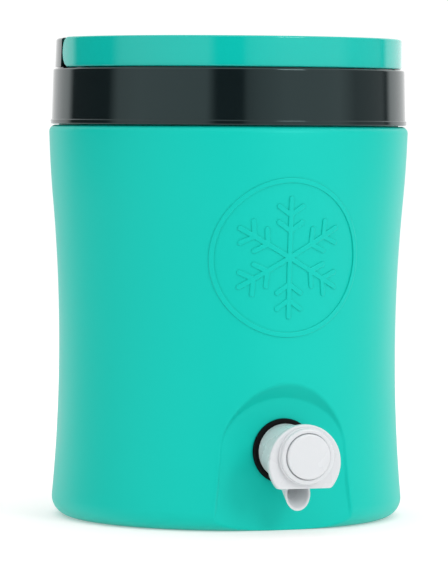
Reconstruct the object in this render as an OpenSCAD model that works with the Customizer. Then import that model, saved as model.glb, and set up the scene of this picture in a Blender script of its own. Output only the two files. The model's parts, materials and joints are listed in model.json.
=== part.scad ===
// Insulated water jug with a push-button tap, a screw lid and a folding bail.
// The origin is on the jug's axis at its base. +Z is up and the tap faces -Y.

/* [Body] */
// Radius of the body at its waist
waist_r = 100.85; // [92:0.05:125]
// Height of the waist above the base
waist_z = 100; // [85:1:120]
// Radius of the inward curve that runs up the body
waist_curve_r = 970; // [800:10:1400]
// Height of the body's top edge, where the collar begins
body_h = 233.4; // [190:0.1:285]
// Length of the outward shoulder curve below the top edge
shoulder_len = 45.4; // [30:0.1:60]
// Radius of the outward shoulder curve
shoulder_curve_r = 700; // [500:10:900]
// Rounding of the corner under the body
foot_round = 11; // [8:0.5:16]
// Rounding of the body's top edge
top_round = 4; // [3:0.5:6]
// Wall of the outer body
shell_t = 2.4; // [1.8:0.1:3]
// Width of the flat ring on top of the body, outside its neck
neck_step = 5.8; // [4.5:0.1:8]
// Height of the neck that the collar fits over
neck_h = 26.6; // [20:0.1:35]

/* [Tap recess] */
// Depth of the flat that the tap seats on, in from the waist
recess_depth = 6.85; // [5:0.05:8]
// Half width of the recess at the tap
recess_half_w = 38; // [33:0.5:42]
// Height of the recess arch over the tap's axis, on the flat
recess_arch_h = 30.5; // [26:0.5:34]
// Height of the recess arch over the tap's axis, where it is widest
recess_arch_out_h = 38.5; // [34:0.5:44]
// How far the flat leans out by the time it meets the base
recess_lean = 1.6; // [0:0.1:4]

/* [Raised mark] */
// Height of the raised mark's centre
mark_z = 158; // [140:1:170]
// Outer radius of its ring
mark_r = 46; // [30:0.5:48]
// Width of its lines
mark_line = 3; // [2:0.1:5]
// How far it stands out of the wall
mark_rise = 0.8; // [0.4:0.1:1.2]

/* [Liner] */
// Foam thickness between the outer body and the liner at the waist
foam_t = 12.45; // [9:0.05:16]
// Wall of the liner
liner_t = 2; // [1.5:0.1:3]
// Height of the liner's underside above the base
liner_z = 15; // [12:0.5:20]
// Rounding of the liner's lower corner
liner_round = 10; // [6:0.5:16]
// Thickness of the liner's flange
flange_t = 2.5; // [2:0.1:3.5]

/* [Collar] */
// Gap between the body's top edge and the collar
collar_gap = 0.5; // [0.3:0.1:1]
// Height of the collar's band
band_h = 32.9; // [30:0.1:36]
// How far the band's top edge lies inside the body's widest shoulder
band_inset = 2.24; // [1:0.02:3]
// Extra radius of the band at its lower edge
band_flare = 0.8; // [0:0.1:1.5]
// Extra radius of the lip round the band's lower edge
lip_out = 0.7; // [0.3:0.1:1.2]
// Height of that lip
lip_h = 2.6; // [1.5:0.1:4]
// Thickness of the collar's wall inside the bail
ring_t = 5.5; // [4.5:0.1:7]

/* [Bail handle] */
// Thickness of the bail
bail_t = 4; // [3:0.1:5]
// Height of the bail
bail_h = 17.9; // [14:0.1:20]
// Gap between the bail and the collar inside it
bail_gap = 1; // [0.8:0.1:1.5]
// Gap between the bail and the band that it rests on
bail_rest_gap = 0.55; // [0.4:0.05:1]
// How far the collar's ring lies below the top of the folded bail
ring_drop = 0.45; // [0:0.05:2]
// How far the pivots lie in front of the jug's axis
pivot_forward = 4; // [2:0.5:8]
// Radius of the pivot studs
stud_r = 4; // [3:0.25:5]

/* [Lid] */
// Gap between the lid and the collar
lid_gap = 0.6; // [0.4:0.1:1]
// How far the lid's top lies below the collar's
lid_drop = 1.2; // [0.5:0.1:3]
// Wall of the lid
lid_t = 2.4; // [2:0.1:3]
// Radius of the two finger wells
well_r = 62; // [50:1:66]
// Depth of the finger wells
well_depth = 11; // [8:0.5:12]
// Width of the bar between the wells
grip_w = 16; // [12:1:24]
// Length of the plug below the liner's flange
plug_len = 26.5; // [22:0.5:32]
// Gap between the plug and the liner
plug_gap = 2.8; // [2.4:0.1:3.5]
// Thickness of the lid gasket
lid_gasket_t = 2; // [1.5:0.1:3]
// Number of screw lugs
lug_count = 6; // [4:1:6]
// Rise of the screw in one turn
screw_lead = 36; // [30:1:40]

/* [Tap] */
// Height of the tap's axis
tap_z = 46; // [44:0.5:60]
// Radius of the tap's barrel
barrel_r = 16; // [14:0.1:17]
// Length of the barrel between gasket and flange
barrel_len = 29; // [24:0.5:32]
// Radius of the shank through the wall
shank_r = 12; // [11:0.1:12.5]
// Gap round the shank in the wall
shank_gap = 0.3; // [0.2:0.1:0.6]
// Radius of the black tap gasket
gasket_r = 18.9; // [17:0.1:21]
// Thickness of the black tap gasket
gasket_t = 2.5; // [2:0.1:3.5]
// Radius of the flange plate
plate_r = 21.9; // [20:0.1:24]
// Thickness of the flange plate
plate_t = 4.5; // [3:0.1:6]
// Distance of the plate's centre below the tap's axis
plate_low = 3.9; // [3:0.1:5]
// Distance from the tap's axis down to the flat under the flange plate
plate_drop = 18.7; // [18:0.1:22]
// Radius of the ring round the button
ring_r = 16.6; // [16.2:0.1:18]
// Radius of the button
button_r = 13; // [11:0.1:13.4]
// How far the button stands out of its ring
button_out = 1.8; // [0.6:0.1:6]
// Travel of the button
button_travel = 4; // [3:0.1:5]
// Radius of the spout's tube
spout_r = 7.7; // [6:0.1:8]
// Wall of the spout's tube
spout_t = 1.3; // [1:0.1:1.6]
// Distance from the tap's axis down to the middle of the spout's mouth
spout_drop = 23; // [21:0.5:25]
// Slope of the spout below the horizontal, in degrees
spout_slope = 38; // [30:1:50]
// Distance of the spout's mouth behind the flange plate
mouth_back = 6.8; // [4:0.1:8]

/* [Hidden] */
$fn = 96;
over = 1;              // how far a cut runs past the face that it opens
arc_steps = 12;        // straight steps along each long body curve
round_steps = 6;       // straight steps round each small rounding

turquoise = [0.16, 0.78, 0.73];
charcoal = [0.12, 0.15, 0.16];
white = [0.93, 0.94, 0.94];
black = [0.03, 0.05, 0.06];
cream = [0.93, 0.88, 0.72];
steel = [0.75, 0.76, 0.78];

// Body curve: foot rounding, inward curve, shoulder curve and top rounding, each tangent to the next
waist_cx = waist_r + waist_curve_r;
foot_cx = waist_cx - sqrt(pow(waist_curve_r + foot_round, 2) - pow(waist_z - foot_round, 2));
foot_angle = atan2(waist_z - foot_round, waist_cx - foot_cx);
shoulder_angle = asin((body_h - shoulder_len - waist_z) / waist_curve_r);
shoulder_cx = waist_cx - (waist_curve_r + shoulder_curve_r) * cos(shoulder_angle);
shoulder_cz = waist_z + (waist_curve_r + shoulder_curve_r) * sin(shoulder_angle);
top_cz = body_h - top_round;
top_cx = shoulder_cx + sqrt(pow(shoulder_curve_r - top_round, 2) - pow(top_cz - shoulder_cz, 2));
top_angle = atan2(top_cz - shoulder_cz, top_cx - shoulder_cx);
body_top_r = top_cx + top_round;

// Levels, from the body's top edge up
neck_r = body_top_r - neck_step;
neck_z = body_h + neck_h;
flange_z = neck_z + flange_t;
collar_z = body_h + collar_gap;
deck_z = collar_z + band_h;
bail_z = deck_z + bail_rest_gap;
collar_top_z = bail_z + bail_h - ring_drop;
lid_top_z = collar_top_z - lid_drop;
lid_under_z = flange_z + lid_gasket_t;

// Radii, from the body's top edge in
recess_face = waist_r - recess_depth;
// Below the tap's axis the flat stays upright past the gasket, then leans out to the base
recess_low_drop = gasket_r + 0.6;
lean_patch = 5;
// How much wider than at the axis the recess is: at that drop, at the base, and out past the wall
low_flare = 1.2;
foot_flare = 3.5;
rim_flare = 19.5;
wall_flare = 16;
// How far out of the flat the cut reaches, and how much higher its arch is there than where it is widest
recess_reach = 16;
wall_rise = 12;
band_top_r = body_top_r - band_inset;
band_in_r = neck_r + 0.4;
bail_out_r = band_top_r - 1.8;
bail_in_r = bail_out_r - bail_t;
ring_front_r = bail_in_r - bail_gap;
bore_r = ring_front_r - ring_t;
rear_top_r = bail_out_r + 0.1;
rear_low_r = bail_out_r + 0.7;
lid_r = bore_r - lid_gap;
liner_out_r = waist_r - shell_t - foam_t;
liner_in_r = liner_out_r - liner_t;
plug_r = liner_in_r - plug_gap;
liner_flange_r = neck_r - 0.2;

// Bail: its pivots sit at half its height
pivot_z = bail_z + bail_h / 2;
pivot_y = -pivot_forward;
bail_end_r = bail_h / 2 + 0.05;
shoulder_y = pivot_y + bail_end_r + 0.45;      // where the collar's full ring begins
pad_x = ring_front_r - 0.5;                    // flat seats at the pivots
pad_front_y = pivot_y - 20;
stud_play = 0.08;
stud_head_r = stud_r + 0.9;
stud_head_t = 1.4;
stud_in_x = bore_r + 0.3;

// Screw lugs
lug_arc = 24;
lug_h = 2.2;
lug_reach = 2;         // how far a lug stands out of its wall
lug_sink = 0.6;        // how far a lug's root goes into its wall
lug_play = 0.3;        // axial play between a lid lug and the liner lug over it
lid_lug_z = flange_z - 12;
liner_lug_z = lid_lug_z + lug_h + lug_play;

// Tap: distances out from the jug's axis. The ring is as long as the button's travel needs.
plate_floor = 1.2;
skirt_t = 1.6;
lip_t = 1.6;
gasket_out = recess_face + gasket_t;
plate_in = gasket_out + barrel_len;
plate_out = plate_in + plate_t;
skirt_in = plate_in + plate_floor + button_travel + 0.4;
ring_out = skirt_in + skirt_t + 0.2 + lip_t;
button_face = ring_out + button_out;
mouth_at = plate_in - mouth_back;
shank_hole_r = shank_r + shank_gap;
pad_r = 20;            // flat seat for the nut on the liner
pad_in = liner_in_r - 2.6;
pad_out = liner_out_r + 0.6;
sleeve_end = recess_face - shell_t;
washer_t = 2;
nut_t = 7;
nut_across = 18;       // radius over the nut's corners
shank_in = pad_in - washer_t - nut_t - 6;
chamber_r = 8.6;
seat_at = recess_face + 4;
seat_t = 1.5;
seat_r = 6.2;
outlet_r = barrel_r - 2.9;
partition_t = 4;
partition_wall = 1.3;
plug_play = 0.05;
partition_at = plate_in - 2 - partition_t;
stem_r = 2.5;
stem_play = 0.06;
seal_r = 7.6;
seal_t = 3.2;
seal_ring_r = 4.2;
seal_ring_t = 1.8;
button_t = 2.2;
button_play = 0.35;
button_skirt_out = 1;
cup_r = button_r + button_skirt_out + 0.3;     // room for the button's skirt
button_wall_r = outlet_r - 2.3;                // the button's sleeve runs inside the partition's cup
button_in = partition_at + partition_t + button_travel + 0.4;
retainer_t = 2;
spring_r = 7;
spring_wire_r = 0.45;
spring_turns = 6;
plug_hole_r = 7;
plug_hole_y = 45;
foot_groove_r = 84;

// A point on a circle about c at angle a
function on_circle(c, r, a) = [c[0] + r * cos(a), c[1] + r * sin(a)];
// An arc about c from angle a to angle b, in n steps
function arc(c, r, a, b, n) = [for (i = [0 : n]) on_circle(c, r, a + (b - a) * i / n)];

// Half outline of the body and its neck, moved in by t, closed at height top_z
function body_outline(t, top_z) = concat(
  [[0, t]],
  arc([foot_cx, foot_round], foot_round - t, -90, foot_angle, round_steps),
  arc([waist_cx, waist_z], waist_curve_r + t, 180 + foot_angle, 180 - shoulder_angle, arc_steps),
  arc([shoulder_cx, shoulder_cz], shoulder_curve_r - t, -shoulder_angle, top_angle, round_steps),
  arc([top_cx, top_cz], top_round - t, top_angle, 90, round_steps),
  [[neck_r - t, body_h - t], [neck_r - t, top_z], [0, top_z]]);

// Half outline of the liner, moved in by t
function liner_outline(t, top_z) = concat(
  [[0, liner_z + t]],
  arc([liner_out_r - liner_round, liner_z + liner_round], liner_round - t, -90, 0, round_steps),
  [[liner_out_r - t, top_z], [0, top_z]]);

// Outline of an upright bar with rounded corners, from x0 to x1 and from z0 to z1
function bar_outline(x0, x1, z0, z1, r) = concat(
  arc([x1 - r, z0 + r], r, -90, 0, 3),
  arc([x1 - r, z1 - r], r, 0, 90, 3),
  arc([x0 + r, z1 - r], r, 90, 180, 3),
  arc([x0 + r, z0 + r], r, 180, 270, 3));

// Places children that are drawn along +Z onto the tap's axis, so that +Z points out of the jug
module on_tap_axis(out = 0) {
  translate([0, 0, tap_z]) rotate([90, 0, 0]) translate([0, 0, out]) children();
}

// A disc or tube on the tap's axis between two distances from the jug's axis
module tap_disc(from, to, r) {
  on_tap_axis(from) cylinder(r = r, h = to - from);
}

module tap_tube(from, to, r, hole_r) {
  difference() {
    tap_disc(from, to, r);
    tap_disc(from - over, to + over, hole_r);
  }
}

// A ring about the jug's axis
module ring(z0, z1, r, hole_r) {
  difference() {
    translate([0, 0, z0]) cylinder(r = r, h = z1 - z0);
    translate([0, 0, z0 - over]) cylinder(r = hole_r, h = z1 - z0 + 2 * over);
  }
}

// One thin arch: a half ellipse over the tap's axis and a straight-sided field below it
module arch_plate(out, half_w, arch_h, low_half_w, low_z) {
  on_tap_axis(out) linear_extrude(height = 0.01) union() {
    intersection() {
      scale([1, arch_h / half_w]) circle(r = half_w, $fn = 64);
      translate([-half_w, 0]) square([2 * half_w, arch_h + over]);
    }
    polygon([[-half_w, 0], [-low_half_w, low_z], [low_half_w, low_z], [half_w, 0]]);
  }
}

// The space cut out of the body for the tap, made larger by t
module recess_space(t) {
  foot = -tap_z - over;
  hull() {
    arch_plate(recess_face - t, recess_half_w + t, recess_arch_h + t,
               recess_half_w + low_flare, -recess_low_drop);
    arch_plate(recess_face + recess_lean - t, lean_patch, lean_patch,
               recess_half_w + foot_flare, foot);
    arch_plate(recess_face + recess_reach, recess_half_w + wall_flare + t,
               recess_arch_out_h + wall_rise + t, recess_half_w + rim_flare, foot);
  }
}

// The hollow inside the outer body, up to height top_z
module shell_hollow(top_z) {
  difference() {
    rotate_extrude() polygon(body_outline(shell_t, top_z));
    recess_space(shell_t);
  }
}

// One straight line of the mark from the origin along +Y, with a round end
module mark_stroke(length) {
  translate([-mark_line / 2, 0]) square([mark_line, length]);
  translate([0, length]) circle(d = mark_line);
}

// Flat pattern of the raised mark: a six-armed frost star in a ring
module mark_pattern() {
  arm = mark_r - 4 * mark_line;
  difference() {
    circle(r = mark_r);
    circle(r = mark_r - mark_line);
  }
  for (turn = [0 : 60 : 300]) rotate(turn) {
    mark_stroke(arm);
    for (spot = [0.45, 0.72], side = [-1, 1])
      translate([0, arm * spot]) rotate(side * 55) mark_stroke(arm * 0.26);
  }
}

module raised_mark() {
  intersection() {
    difference() {
      rotate_extrude() polygon(body_outline(-mark_rise, body_h));
      rotate_extrude() polygon(body_outline(shell_t / 2, body_h + over));
    }
    translate([0, 0, mark_z]) rotate([90, 0, 0])
      linear_extrude(height = body_top_r + 10) mark_pattern();
  }
}

module outer_shell() {
  color(turquoise) difference() {
    union() {
      difference() {
        rotate_extrude() polygon(body_outline(0, neck_z));
        recess_space(0);
        shell_hollow(neck_z + over);
      }
      raised_mark();
    }
    tap_disc(sleeve_end - over, recess_face + over, shank_hole_r);
    translate([0, plug_hole_y, -over]) cylinder(r = plug_hole_r, h = shell_t + 2 * over);
    ring(-over, 1, foot_groove_r, foot_groove_r - 5);
  }
}

// Closes the hole that the foam is poured through
module fill_plug() {
  color(charcoal) translate([0, plug_hole_y, 0.6]) cylinder(r = plug_hole_r, h = shell_t - 0.6);
}

// The liner's whole outside, with the flat seat for the tap
module liner_envelope() {
  rotate_extrude() polygon(liner_outline(0, neck_z));
  tap_disc(pad_in, pad_out, pad_r);
}

module foam_fill() {
  color(cream) difference() {
    shell_hollow(neck_z);
    liner_envelope();
    tap_disc(pad_in, recess_face, shank_r + 4);
  }
}

// A screw lug: a short helical bar between radii r0 and r1 with its middle at height z
module lug(r0, r1, z) {
  steps = 6;
  taper = 0.25;
  section = r1 > r0
    ? [[r0, -lug_h / 2], [r1, -lug_h / 2 + taper], [r1, lug_h / 2 - taper], [r0, lug_h / 2]]
    : [[r0, lug_h / 2], [r1, lug_h / 2 - taper], [r1, -lug_h / 2 + taper], [r0, -lug_h / 2]];
  angles = [for (i = [0 : steps]) lug_arc * (i / steps - 0.5)];
  points = [for (a = angles, p = section)
    [p[0] * cos(a), p[0] * sin(a), z + screw_lead * a / 360 + p[1]]];
  sides = [for (i = [0 : steps - 1], k = [0 : 3])
    [4 * i + k, 4 * i + (k + 1) % 4, 4 * i + 4 + (k + 1) % 4, 4 * i + 4 + k]];
  last = 4 * steps;
  polyhedron(points, concat([[3, 2, 1, 0]], sides, [[last, last + 1, last + 2, last + 3]]));
}

module lugs(r0, r1, z) {
  for (i = [0 : lug_count - 1]) rotate([0, 0, i * 360 / lug_count]) lug(r0, r1, z);
}

module inner_liner() {
  color(white) difference() {
    union() {
      difference() {
        union() {
          liner_envelope();
          translate([0, 0, neck_z]) cylinder(r = liner_flange_r, h = flange_t);
        }
        difference() {
          rotate_extrude() polygon(liner_outline(liner_t, flange_z + over));
          tap_disc(pad_in, pad_out, pad_r);
        }
      }
      lugs(liner_in_r + lug_sink, liner_in_r - lug_reach, liner_lug_z);
    }
    tap_disc(pad_in - over, pad_out + over, shank_hole_r);
  }
}

// Outline of the collar's band, the deck that the bail rests on, and its inner ring
function collar_outline() = concat(
  [[band_in_r, flange_z], [band_in_r, collar_z],
   [band_top_r + band_flare + lip_out - 0.5, collar_z],
   [band_top_r + band_flare + lip_out, collar_z + 0.5],
   [band_top_r + band_flare + lip_out, collar_z + lip_h - 0.6],
   [band_top_r + band_flare, collar_z + lip_h]],
  arc([band_top_r - 1.2, deck_z - 1.2], 1.2, 0, 90, 3),
  [[ring_front_r, deck_z]],
  arc([ring_front_r - 1, collar_top_z - 1], 1, 0, 90, 3),
  arc([bore_r + 1, collar_top_z - 1], 1, 90, 180, 3),
  [[bore_r, flange_z]]);

// Outline of the full ring behind the bail, flush with the bail's outside
function rear_outline() = concat(
  [[ring_front_r - 2, deck_z - 1], [rear_low_r - 1.6, deck_z - 1],
   [rear_low_r - 1.6, deck_z + 0.6], [rear_low_r, deck_z + 0.6]],
  arc([rear_top_r - 1.5, collar_top_z - 1.5], 1.5, 0, 90, 3),
  [[ring_front_r - 2, collar_top_z]]);

module collar() {
  channel_in_r = bore_r + 3;
  channel_out_r = rear_top_r - 2.6;
  color(charcoal) difference() {
    union() {
      rotate_extrude() polygon(collar_outline());
      intersection() {
        rotate_extrude() polygon(rear_outline());
        translate([-neck_r * 2, shoulder_y, 0]) cube([neck_r * 4, neck_r * 2, collar_top_z + over]);
      }
    }
    // hollow under the rear ring
    translate([0, 0, flange_z - over]) rotate([0, 0, 10]) rotate_extrude(angle = 160)
      translate([channel_in_r, 0]) square([channel_out_r - channel_in_r, collar_top_z - 3.2 - flange_z + over]);
    for (side = [-1, 1]) to_side(side) {
      // flat seat, stud hole and the pocket for the stud's head
      translate([pad_x, pad_front_y, deck_z])
        cube([bail_t + 3, shoulder_y - pad_front_y, collar_top_z - deck_z + over]);
      translate([bore_r - 3, pivot_y, pivot_z]) rotate([0, 90, 0])
        cylinder(r = stud_r + stud_play, h = ring_t + 6);
      translate([bore_r - 3, pivot_y, pivot_z]) rotate([0, 90, 0])
        cylinder(r = stud_head_r + 0.4, h = 3 + stud_head_t + 0.8);
    }
  }
}

// Mirrors what is drawn at +X to the side asked for
module to_side(side) {
  if (side > 0) children();
  else mirror([1, 0, 0]) children();
}

module handle() {
  color(turquoise) union() {
    intersection() {
      rotate_extrude() polygon(bar_outline(bail_in_r, bail_out_r, bail_z, bail_z + bail_h, 1));
      union() {
        translate([-neck_r * 2, pivot_y - neck_r * 2, 0])
          cube([neck_r * 4, neck_r * 2, collar_top_z + 20]);
        translate([-neck_r * 2, pivot_y, pivot_z]) rotate([0, 90, 0])
          cylinder(r = bail_end_r, h = neck_r * 4);
      }
    }
    for (side = [-1, 1]) to_side(side) translate([stud_in_x, pivot_y, pivot_z])
      rotate([0, 90, 0]) {
        cylinder(r = stud_r, h = bail_in_r + 1 - stud_in_x);
        cylinder(r = stud_head_r, h = stud_head_t);
      }
  }
}

// The two finger wells in the lid, made larger by t
module wells(t) {
  intersection() {
    translate([0, 0, lid_top_z - well_depth - t]) cylinder(r = well_r + t, h = well_depth + t + over);
    for (side = [0, 180]) rotate([0, 0, side])
      translate([-well_r * 2, grip_w / 2 - t, 0]) cube([well_r * 4, well_r * 2, lid_top_z + 2 * over]);
  }
}

module lid_shell() {
  edge = 1.6;
  color(turquoise) difference() {
    rotate_extrude() polygon(concat(
      [[0, lid_under_z], [lid_r, lid_under_z]],
      arc([lid_r - edge, lid_top_z - edge], edge, 0, 90, 4),
      [[0, lid_top_z]]));
    difference() {
      translate([0, 0, lid_under_z - over])
        cylinder(r = lid_r - lid_t, h = lid_top_z - lid_t - lid_under_z + over);
      wells(lid_t);
    }
    wells(0);
  }
}

module lid_foam() {
  color(cream) difference() {
    union() {
      translate([0, 0, lid_under_z + 2])
        cylinder(r = lid_r - lid_t, h = lid_top_z - lid_t - lid_under_z - 2);
      translate([0, 0, flange_z - plug_len + 2.2])
        cylinder(r = plug_r - 2.2, h = plug_len + lid_gasket_t);
    }
    wells(lid_t);
  }
}

module lid_inner() {
  plug_t = 2.2;
  color(white) difference() {
    union() {
      translate([0, 0, flange_z - plug_len]) cylinder(r = plug_r, h = plug_len + lid_gasket_t + 2);
      translate([0, 0, lid_under_z]) cylinder(r = lid_r - lid_t, h = 2);
      lugs(plug_r - lug_sink, plug_r + lug_reach + 0.2, lid_lug_z);
    }
    translate([0, 0, flange_z - plug_len + plug_t])
      cylinder(r = plug_r - plug_t, h = plug_len + lid_gasket_t + 2 + over);
  }
}

module lid_gasket() {
  color(black) ring(flange_z, lid_under_z, lid_r - lid_t, plug_r + 0.3);
}

// The spout's tube on its slope, with radius r, running past the mouth
module spout_tube(r, back) {
  on_tap_axis(mouth_at) translate([0, -spout_drop, 0]) rotate([spout_slope - 180, 0, 0])
    translate([0, 0, -3 * spout_r]) cylinder(r = r, h = 3 * spout_r + back);
}

module tap_body() {
  spout_back = (spout_drop - outlet_r + 1) / sin(spout_slope);
  color(white) difference() {
    union() {
      tap_disc(shank_in, gasket_out, shank_r);
      tap_disc(gasket_out, plate_in, barrel_r);
      intersection() {
        spout_tube(spout_r, spout_back);
        tap_disc(gasket_out, mouth_at, spout_drop * 2);
      }
    }
    tap_disc(shank_in - over, seat_at, chamber_r);
    tap_disc(seat_at - over, seat_at + seat_t + over, seat_r);
    tap_disc(seat_at + seat_t, plate_in + over, outlet_r);
    spout_tube(spout_r - spout_t, spout_back);
  }
}

module tap_gasket() {
  color(black) tap_tube(recess_face, gasket_out, gasket_r, shank_r + 0.1);
}

// Keeps the wall from being crushed when the nut is tightened
module tap_sleeve() {
  color(white) tap_tube(pad_out, sleeve_end, shank_r + 4, shank_hole_r);
}

module tap_inner_washer() {
  color(black) tap_tube(pad_in - washer_t, pad_in, nut_across, shank_r + 0.1);
}

module tap_nut() {
  color(white) difference() {
    on_tap_axis(pad_in - washer_t - nut_t) cylinder(r = nut_across, h = nut_t, $fn = 6);
    tap_disc(shank_in, pad_in, shank_r + 0.05);
  }
}

// D-shaped plate behind the button, with the partition that plugs the barrel's front
module tap_flange() {
  wide = 2 * plate_r;
  color(white) difference() {
    union() {
      intersection() {
        on_tap_axis(plate_in) translate([0, -plate_low, 0]) cylinder(r = plate_r, h = plate_t);
        on_tap_axis(plate_in - over) translate([-wide, -plate_drop, 0])
          cube([2 * wide, 2 * wide, plate_t + 2 * over]);
      }
      tap_disc(partition_at, plate_in + over, outlet_r - plug_play);
    }
    tap_disc(partition_at + partition_t, plate_out + over, outlet_r - partition_wall);
    tap_disc(plate_in + plate_floor, plate_out + over, cup_r);
    tap_disc(partition_at - over, plate_in, stem_r + stem_play);
    tap_disc(partition_at - over, partition_at + seal_ring_t, seal_ring_r);
  }
}

module stem_seal() {
  color(black) tap_tube(partition_at, partition_at + seal_ring_t, seal_ring_r, stem_r + stem_play);
}

module button_ring() {
  edge = 1.2;
  color(white) difference() {
    on_tap_axis() rotate_extrude() polygon(concat(
      [[0, plate_out], [ring_r, plate_out]],
      arc([ring_r - edge, ring_out - edge], edge, 0, 90, 4),
      [[0, ring_out]]));
    tap_disc(plate_out - over, ring_out - lip_t, cup_r);
    tap_disc(ring_out - lip_t - over, ring_out + over, button_r + button_play);
  }
}

module tap_button() {
  edge = 1;
  color(white) difference() {
    on_tap_axis() rotate_extrude() polygon(concat(
      [[0, button_in], [button_wall_r, button_in], [button_wall_r, skirt_in],
       [button_r + button_skirt_out, skirt_in],
       [button_r + button_skirt_out, skirt_in + skirt_t],
       [button_r, skirt_in + skirt_t]],
      arc([button_r - edge, button_face - edge], edge, 0, 90, 4),
      [[0, button_face]]));
    tap_disc(button_in - over, button_face - button_t, button_wall_r - 1.6);
  }
}

module tap_stem() {
  color(white) union() {
    tap_disc(seat_at - seal_t - retainer_t - 1, button_face - button_t, stem_r);
    tap_disc(seat_at, seat_at + 2, stem_r + 2);
  }
}

module valve_seal() {
  color(black) tap_tube(seat_at - seal_t, seat_at, seal_r, stem_r);
}

module seal_retainer() {
  color(white) tap_tube(seat_at - seal_t - retainer_t, seat_at - seal_t, stem_r + 2.5, stem_r);
}

// Compression spring between the partition and the button: a wire swept along a helix
module tap_spring() {
  sides = 6;
  steps = 16 * spring_turns;
  length = button_face - button_t - (partition_at + partition_t) - 2 * spring_wire_r;
  points = [for (i = [0 : steps], k = [0 : sides - 1])
    let (a = 360 * spring_turns * i / steps, b = 360 * k / sides,
         r = spring_r + spring_wire_r * cos(b))
    [r * cos(a), r * sin(a), spring_wire_r + length * i / steps + spring_wire_r * sin(b)]];
  skin = [for (i = [0 : steps - 1], k = [0 : sides - 1])
    [sides * i + k, sides * (i + 1) + k, sides * (i + 1) + (k + 1) % sides,
     sides * i + (k + 1) % sides]];
  first = [for (k = [0 : sides - 1]) k];
  last = [for (k = [0 : sides - 1]) sides * steps + sides - 1 - k];
  color(steel) on_tap_axis(partition_at + partition_t) polyhedron(points, concat([first], skin, [last]));
}

outer_shell();
fill_plug();
foam_fill();
inner_liner();
collar();
handle();
lid_shell();
lid_foam();
lid_inner();
lid_gasket();
tap_body();
tap_gasket();
tap_sleeve();
tap_inner_washer();
tap_nut();
tap_flange();
button_ring();
stem_seal();
tap_button();
tap_stem();
valve_seal();
seal_retainer();
tap_spring();
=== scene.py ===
"""Looks of an insulated water jug: a waisted turquoise body under a dark collar, with a folding bail,
a screw lid and a white push-button tap in an arched recess. All lengths are in metres.

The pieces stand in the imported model's own frame: +Z up the jug's axis from its base, tap towards -Y.
Each visible moulding is worked out here with numpy as one or more smooth surfaces."""

import json
import logging
import math
from dataclasses import dataclass
from enum import Enum
from itertools import product
from typing import Sequence

import bmesh
import bpy
import numpy as np
from mathutils import Matrix, Vector


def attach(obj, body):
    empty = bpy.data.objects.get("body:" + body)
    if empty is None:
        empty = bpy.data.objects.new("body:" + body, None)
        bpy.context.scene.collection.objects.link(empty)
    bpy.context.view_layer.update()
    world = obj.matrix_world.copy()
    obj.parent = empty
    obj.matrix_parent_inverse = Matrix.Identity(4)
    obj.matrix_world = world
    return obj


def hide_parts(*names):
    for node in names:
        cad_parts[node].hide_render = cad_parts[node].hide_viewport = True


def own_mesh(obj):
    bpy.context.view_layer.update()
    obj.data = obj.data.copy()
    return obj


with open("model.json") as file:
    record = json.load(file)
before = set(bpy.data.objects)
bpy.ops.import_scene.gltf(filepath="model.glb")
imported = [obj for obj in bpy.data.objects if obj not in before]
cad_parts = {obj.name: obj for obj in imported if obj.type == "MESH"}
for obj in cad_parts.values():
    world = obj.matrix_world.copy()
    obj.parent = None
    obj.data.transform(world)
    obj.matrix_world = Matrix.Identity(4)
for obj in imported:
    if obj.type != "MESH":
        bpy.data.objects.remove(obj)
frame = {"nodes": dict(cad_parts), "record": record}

LOG = logging.getLogger("jug")
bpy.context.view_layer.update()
Array = np.ndarray


class Body(str, Enum):
    """Moving bodies of the model that a piece can ride on."""

    JUG = "jug"
    BAIL = "bail"
    LID_SEAL = "lid_seal"
    LID = "lid"
    PLUNGER = "tap_plunger"


class Wrap(Enum):
    """Which ways a grid of points closes on itself."""

    ROUND = (False, True)
    BOTH = (True, True)


# ---------------------------------------------------------------- outlines and surfaces


def arc(centre: Sequence[float], radius: float, start: float, end: float, steps: int) -> Array:
    """Points on a circle: centre plus radius times (cos, sin) of an angle that runs evenly.

    Args:
        centre: Centre of the circle.
        radius: Its radius.
        start: First angle in radians.
        end: Last angle in radians.
        steps: Number of chords.

    Returns:
        Array of steps + 1 points.
    """
    a = np.linspace(start, end, steps + 1)
    return np.stack([centre[0] + radius * np.cos(a), centre[1] + radius * np.sin(a)], -1)


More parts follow.
